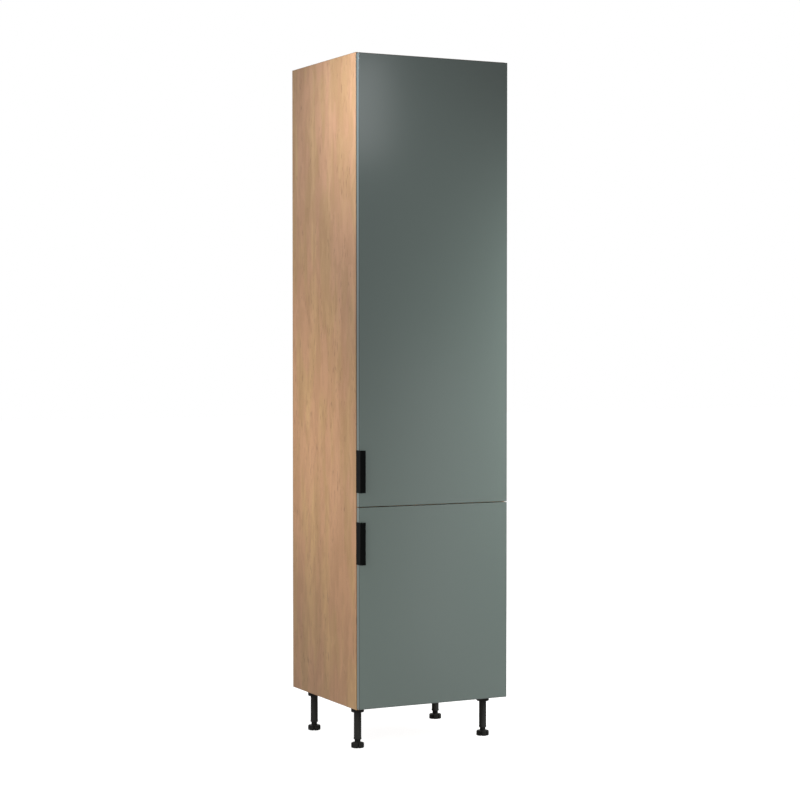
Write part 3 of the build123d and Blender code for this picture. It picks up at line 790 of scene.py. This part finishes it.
def collar_rib(angle, radius):
    """Radius of the collar, between whose ribs the wall steps in."""
    if radius < COLLAR_R - RIB_REACH:
        return radius
    return radius if part_of_turn(angle, COLLAR_RIBS) < RIB_SHARE else radius - RIB_STEP


def named(start):
    """Names of the CAD nodes that start in one way."""
    return [name for name in nodes if name.startswith(start)]


def hinge_levels(door):
    """Height of the middle of each hinge of a door."""
    return [middle(name).z for name in named(f"hinge_arm_{door}_")]


def hinge_place(level, w=0.0):
    """Matrix from a hinge's own u, v and w to the world, at a height."""
    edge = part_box("door_upper")[1]
    return Matrix.Translation((edge.x, edge.y, level + w)) @ Matrix.Rotation(math.pi, 4, "Z")


def pin_place(level, pin):
    """Matrix that puts a form's Z axis on a pin of a hinge."""
    return hinge_place(level) @ Matrix.Translation((*pin, 0))


def bent_route(points, radius):
    """Points of a route whose bends are rounded."""
    route = [Vector(points[0])]
    for before, bend, after in zip(points, points[1:], points[2:]):
        before, bend, after = Vector(before), Vector(bend), Vector(after)
        into, out = (before - bend).normalized(), (after - bend).normalized()
        cut = radius / math.tan(into.angle(out) / 2)
        start, end = bend + into * cut, bend + out * cut
        for i in range(BEND_STEPS + 1):
            part = i / BEND_STEPS
            route.append((1 - part) ** 2 * start + 2 * part * (1 - part) * bend + part ** 2 * end)
    return route + [Vector(points[-1])]


def bar_outline(points, width, radius):
    """Outline of a bar of one width along a bent route."""
    route = bent_route(points, radius)
    left, right = [], []
    for i, point in enumerate(route):
        way = (route[min(i + 1, len(route) - 1)] - route[max(i - 1, 0)]).normalized()
        normal = Vector((-way.y, way.x)) * width / 2
        left.append(tuple(point + normal))
        right.append(tuple(point - normal))
    return left + right[::-1]


def links(door, kind, points, layers, material):
    """One kind of link for all hinges of a door: bent bars with round eyes, and their pins in the cup."""
    form = bmesh.new()
    outline = bar_outline(points, LINK_WIDTH, ELBOW_R)
    for level in hinge_levels(door):
        place = hinge_place(level)
        for low, high in layers:
            plate(form, outline, low, high, place, LINK_EASE)
            for pin in (points[0], points[-1]):
                plate(form, circle_points(pin, EYE_R, EYE_SIDES), low, high, place, LINK_EASE)
        if kind == "outer":
            crown = points[2][1] + LINK_WIDTH / 2
            bridge = rectangle(BRIDGE, (crown - BRIDGE_SKIN, crown))
            plate(form, bridge, layers[0][1], layers[1][0], place)
        turned(form, pin_profile(LINK_PIN_HALF), pin_place(level, points[0]), PIN_SIDES)
    finish_piece(f"{door}_{kind}_link_set", form, material, "nickel_plated_steel",
                 f"{door}_door_{kind}_links", f"{door}_{kind}_links", f"{door}_{kind}_link_pins")


def pin_profile(half):
    """Profile of a round pin with eased ends."""
    radius, ease = LINK_PIN_R, LINK_PIN_EASE
    return [(radius - ease, -half), (radius, ease - half), (radius, half - ease), (radius - ease, half)]


def combined(first, *steps):
    """Solid made from a first one by steps, each of them a boolean operation with another solid."""
    objects = []
    for form in (first, *[form for _, form in steps]):
        bmesh.ops.recalc_face_normals(form, faces=form.faces)
        mesh = bpy.data.meshes.new("solid")
        form.to_mesh(mesh)
        form.free()
        objects.append(bpy.data.objects.new("solid", mesh))
        scene.collection.objects.link(objects[-1])
    for (operation, _), other in zip(steps, objects[1:]):
        step = objects[0].modifiers.new("step", "BOOLEAN")
        step.operation = operation
        step.solver = "EXACT"
        step.object = other
    whole = objects[0].evaluated_get(bpy.context.evaluated_depsgraph_get())
    result = bmesh.new()
    result.from_mesh(whole.to_mesh())
    whole.to_mesh_clear()
    for obj in objects:
        bpy.data.meshes.remove(obj.data)
    return result


def drawn(outline, low, high, matrix, ease=0.0):
    """New solid from a flat outline."""
    form = bmesh.new()
    plate(form, outline, low, high, matrix, ease)
    return form


def rectangle(x, y):
    """Corners of a rectangle between limits on two axes."""
    return [(x[0], y[0]), (x[1], y[0]), (x[1], y[1]), (x[0], y[1])]


def cup_shape():
    """Round cup of a hinge: flange with two ears, stepped mouth, and the pocket that the pins move in."""
    centre = (CUP_U, 0)
    disc = circle_points(centre, CUP_FLANGE_R, SIDES)
    ears = round_hull([(CUP_SCREW_U, -CUP_SCREW_W), (CUP_SCREW_U, CUP_SCREW_W)], CUP_EAR_R, EAR_SIDES)
    floor = CUP_DEPTH - CUP_WALL
    body = bmesh.new()
    profile = [(CUP_R, -SOLID_LAP), (CUP_R, floor), (CUP_R - CUP_WALL, CUP_DEPTH)]
    turned(body, profile, DEPTH_UP @ Matrix.Translation((*centre, 0)), SIDES)
    narrow, wide = MOUTH_HALVES
    end = CUP_U + CUP_R + MOUTH_LAP
    steps = [(0, -narrow), (MOUTH_STEP_U, -narrow), (MOUTH_STEP_U, -wide), (end, -wide)]
    mouth = steps + [(u, -w) for u, w in reversed(steps)]
    inside = circle_points(centre, CUP_R - CUP_WALL, SIDES)
    room = combined(drawn(mouth, -SOLID_LAP, floor, DEPTH_UP),
                    ("INTERSECT", drawn(inside, -2 * SOLID_LAP, CUP_DEPTH, DEPTH_UP)))
    u, v, w = POCKET
    return combined(
        drawn(hull(disc + ears), -CUP_FLANGE, 0, DEPTH_UP, CUP_FLANGE_EASE),
        ("UNION", body),
        ("DIFFERENCE", drawn(mouth, -2 * CUP_FLANGE, 0, DEPTH_UP)),
        ("DIFFERENCE", room),
        ("DIFFERENCE", drawn(rectangle(u, v), *w, Matrix.Identity(4))),
    )


def cups(door, material):
    """A round cup in place of each plain one of a door."""
    shape = cup_shape()
    for name in named(f"hinge_cup_{door}_"):
        form = shape.copy()
        form.transform(hinge_place(middle(name).z))
        finish_piece(name.replace("hinge_cup", "round_cup"), form, material, "nickel_plated_steel",
                     f"{door}_door", name)
    shape.free()


def mounting_plates(door, material):
    """Mounting plates: a wing with round ends, and the rail that carries the arm."""
    form = bmesh.new()
    tip = PLATE_WING_HALF - PLATE_WING_R
    wing = round_hull([(PLATE_SCREW_V, -tip), (PLATE_SCREW_V, tip)], PLATE_WING_R, EAR_SIDES)
    rear, front = PLATE_RAIL_V[0] + RAIL_CORNER, PLATE_RAIL_V[1] - RAIL_CORNER
    half = PLATE_RAIL_HALF - RAIL_CORNER
    rail = round_hull(rectangle((rear, front), (-half, half)), RAIL_CORNER, EYE_SIDES)
    for level in hinge_levels(door):
        place = hinge_place(level) @ OUTWARDS_UP
        plate(form, wing, PLATE_U, PLATE_FACE_U, place, PLATE_EASE)
        plate(form, rail, PLATE_U, PLATE_RAIL_TOP, place, PLATE_EASE)
    finish_piece(f"mounting_plate_set_{door}", form, material, "nickel_plated_steel", "carcass",
                 f"hinge_plates_{door}")


def arms(door, material):
    """Hinge arms: a pressed channel with a rounded nose and rivet heads."""
    near, far = ARM_CHEEK
    pins = (OUTER_POINTS[-1], INNER_POINTS[-1])
    nose = hull(circle_points(HEEL, HEEL_R, EAR_SIDES) + circle_points(pins[0], OUTER_NOSE_R, CORNER_SIDES)
                + circle_points(pins[1], INNER_NOSE_R, CORNER_SIDES))
    rear = hull([(ARM_SEAT_U, ARM_REAR_V), (ARM_BACK_U, ARM_REAR_V), (ARM_BACK_U, HEEL[1]),
                 (HEEL[0] - HEEL_R, HEEL[1]), (ARM_SEAT_U, HEEL[1] - HEEL_R)])
    back = rectangle((ARM_BACK_U - ARM_SKIN, ARM_BACK_U), (ARM_REAR_V, HEEL[1]))
    for name in named(f"hinge_arm_{door}_"):
        form = bmesh.new()
        level = middle(name).z
        place = hinge_place(level)
        for low, high in ((near, far), (-far, -near)):
            plate(form, nose, low, high, place, ARM_EASE)
            plate(form, rear, low, high, place, ARM_EASE)
        plate(form, back, -near, near, place)
        for pin in pins:
            for side in (-1, 1):
                rivet = [(share * RIVET_R, side * (far + rise)) for share, rise in RIVET_HEAD]
                turned(form, rivet, pin_place(level, pin), PIN_SIDES)
        finish_piece(name.replace("hinge_arm", "pressed_arm"), form, material, "nickel_plated_steel",
                     "carcass", name)


def arm_pins(material):
    """The two pins in the nose of each arm."""
    form = bmesh.new()
    for level in hinge_levels("upper") + hinge_levels("lower"):
        for pin in (OUTER_POINTS[-1], INNER_POINTS[-1]):
            turned(form, pin_profile(ARM_CHEEK[0]), pin_place(level, pin), PIN_SIDES)
    finish_piece("arm_pin_set", form, material, "nickel_plated_steel", "carcass", "hinge_arm_pins")


def shelf_pins(material):
    """Steel shelf pins with a thin collar against the side panel."""
    form = bmesh.new()
    profile = [
        (SHELF_PIN_R, -SHELF_PIN_IN),
        (SHELF_PIN_R, 0),
        (SHELF_COLLAR_R, 0),
        (SHELF_COLLAR_R, SHELF_COLLAR),
        (SHELF_PIN_R, SHELF_COLLAR),
        (SHELF_PIN_R, SHELF_PIN_OUT - SHELF_PIN_EASE),
        (SHELF_PIN_R - SHELF_PIN_EASE, SHELF_PIN_OUT),
    ]
    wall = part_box("top_panel")[1].x
    for shelf in [name for name in LEVEL_BOARDS if name.startswith("shelf_")]:
        for y in SHELF_PIN_ROWS:
            for side in (-1, 1):
                place = (side * wall, y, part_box(shelf)[0].z - SHELF_PIN_R)
                turned(form, profile, stand(place, (-side, 0, 0)), CORNER_SIDES)
    finish_piece("shelf_pin_set", form, material, "zinc_plated_steel", "carcass", "shelf_pins")


def bumpers(door, material):
    """Clear domed bumpers at the free corners of a door."""
    form = bmesh.new()
    low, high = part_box(f"bumpers_{door}")
    tall = high.y - low.y
    profile = [(BUMPER_R, 0)]
    for i in range(DOME_STEPS):
        angle = DOME_STEP_ANGLE * i
        rise = DOME_WALL + (1 - DOME_WALL) * math.sin(angle)
        profile.append((BUMPER_R * math.cos(angle), tall * rise))
    for z in (low.z + BUMPER_R, high.z - BUMPER_R):
        place = stand(((low.x + high.x) / 2, low.y, z), (0, 1, 0))
        turned(form, profile, place, BUMPER_SIDES)
    finish_piece(f"domed_bumper_set_{door}", form, material, "clear_bumper", f"{door}_door",
                 f"bumpers_{door}")


def cup_screws(door, material):
    """The two screws through the ears of each cup of a door."""
    form = bmesh.new()
    for level in hinge_levels(door):
        for w in (-CUP_SCREW_W, CUP_SCREW_W):
            place = hinge_place(level, w) @ Vector((CUP_SCREW_U, -CUP_FLANGE, 0))
            screw(form, place, (0, -1, 0), CUP_SCREW)
    finish_piece(f"cup_screw_set_{door}", form, material, "zinc_plated_steel", f"{door}_door",
                 f"cup_screws_{door}")


def handle_screws(door, material):
    """The two screws through the flange of a door's handle."""
    form = bmesh.new()
    handle = f"handle_{door}"
    for w in (-HANDLE_SCREW_W, HANDLE_SCREW_W):
        place = (middle(f"handle_screws_{door}").x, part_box(handle)[1].y, middle(handle).z + w)
        screw(form, place, (0, -1, 0), HANDLE_SCREW)
    finish_piece(f"handle_screw_set_{door}", form, material, "zinc_plated_steel", f"{door}_door",
                 f"handle_screws_{door}")


def carcass_screws(material):
    """Screws of the mounting plates, and the adjusting screws in the arms."""
    plates, arm_set = bmesh.new(), bmesh.new()
    for level in hinge_levels("upper") + hinge_levels("lower"):
        for w in (-PLATE_SCREW_W, PLATE_SCREW_W):
            place = hinge_place(level, w) @ Vector((PLATE_FACE_U, PLATE_SCREW_V, 0))
            screw(plates, place, (1, 0, 0), PLATE_SCREW)
        for v in ARM_SCREW_VS:
            place = hinge_place(level) @ Vector((ARM_BACK_U, v, 0))
            screw(arm_set, place, (1, 0, 0), ARM_SCREW)
    finish_piece("plate_screw_set", plates, material, "zinc_plated_steel", "carcass", "plate_screws")
    finish_piece("arm_screw_set", arm_set, material, "zinc_plated_steel", "carcass", "arm_screws")


def boards():
    """Oak decor on the carcass, with bare rear edges and a bare rear side of the back."""
    for board in UPRIGHT_BOARDS:
        low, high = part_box(board)
        # The side panels' front edges get no painted shade line: the lines' box is moved out past them
        in_front = low - Vector((0, LINE_LAP, 0))
        dress(oak(f"oak_{board}", "Z", in_front, high, high.y - RAW_DEPTH, chipboard), board)
    for board in LEVEL_BOARDS:
        low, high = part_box(board)
        dress(oak(f"oak_{board}", "X", low, high, high.y - RAW_DEPTH, chipboard), board)
    for board in BACK_SHEETS:
        low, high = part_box(board)
        dress(oak(f"oak_{board}", "Z", low, high, middle(board).y, fibreboard), board)


def doors():
    """Lacquer on the doors, with painted shade along their arrises but none at the split between them."""
    for door, below, above in (("door_upper", LINE_LAP, 0), ("door_lower", 0, LINE_LAP)):
        low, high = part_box(door)
        dress(lacquer(f"lacquer_{door}", low - Vector((0, 0, below)), high + Vector((0, 0, above))), door)


camera()
white_floor()
white_world()
for lamp in LAMPS:
    area_light(*lamp)

boards()
doors()
coat = worn("black_powder_coat", HANDLE_BLACK, rough=0.55, size=1500, tone=0.2, bump=0.15, shine=0.03)
tube = worn("black_tube", LEG_BLACK, rough=0.6, size=900, tone=0.15, stretch=(1, 1, 0.05), bump=0.08,
            shine=0.06)
beech = worn("beech", BEECH, rough=0.6, size=900, tone=0.15, stretch=(0.1, 1, 1))
strip = worn("strip", STRIP_WHITE, rough=0.45, size=500, tone=0.03)
rubber = worn("bumper", BUMPER_CLEAR, rough=0.35, size=500, tone=0.04)
plastic = worn("moulded_plastic", PAD_BLACK, rough=0.6, size=700, tone=0.15, shine=0.06)
steel = worn("pressed_nickel", NICKEL, rough=0.28, size=1200, tone=0.06, stretch=(1, 1, 0.2), metal=1.0)
zinc = worn("screw_zinc", ZINC, rough=0.34, size=1500, tone=0.1, metal=1.0)

dress(coat, "handle_lower", "handle_upper")
dress(beech, "dowels")
dress(strip, "back_joint_strip")
legs(tube)
feet(plastic)
sockets(plastic)
shelf_pins(zinc)
for side in ("upper", "lower"):
    cups(side, steel)
    mounting_plates(side, steel)
    arms(side, steel)
    links(side, "outer", OUTER_POINTS, OUTER_LAYERS, steel)
    links(side, "inner", INNER_POINTS, INNER_LAYERS, steel)
    bumpers(side, rubber)
    cup_screws(side, zinc)
    handle_screws(side, zinc)
arm_pins(steel)
carcass_screws(zinc)

scene.view_settings.view_transform = "Standard"
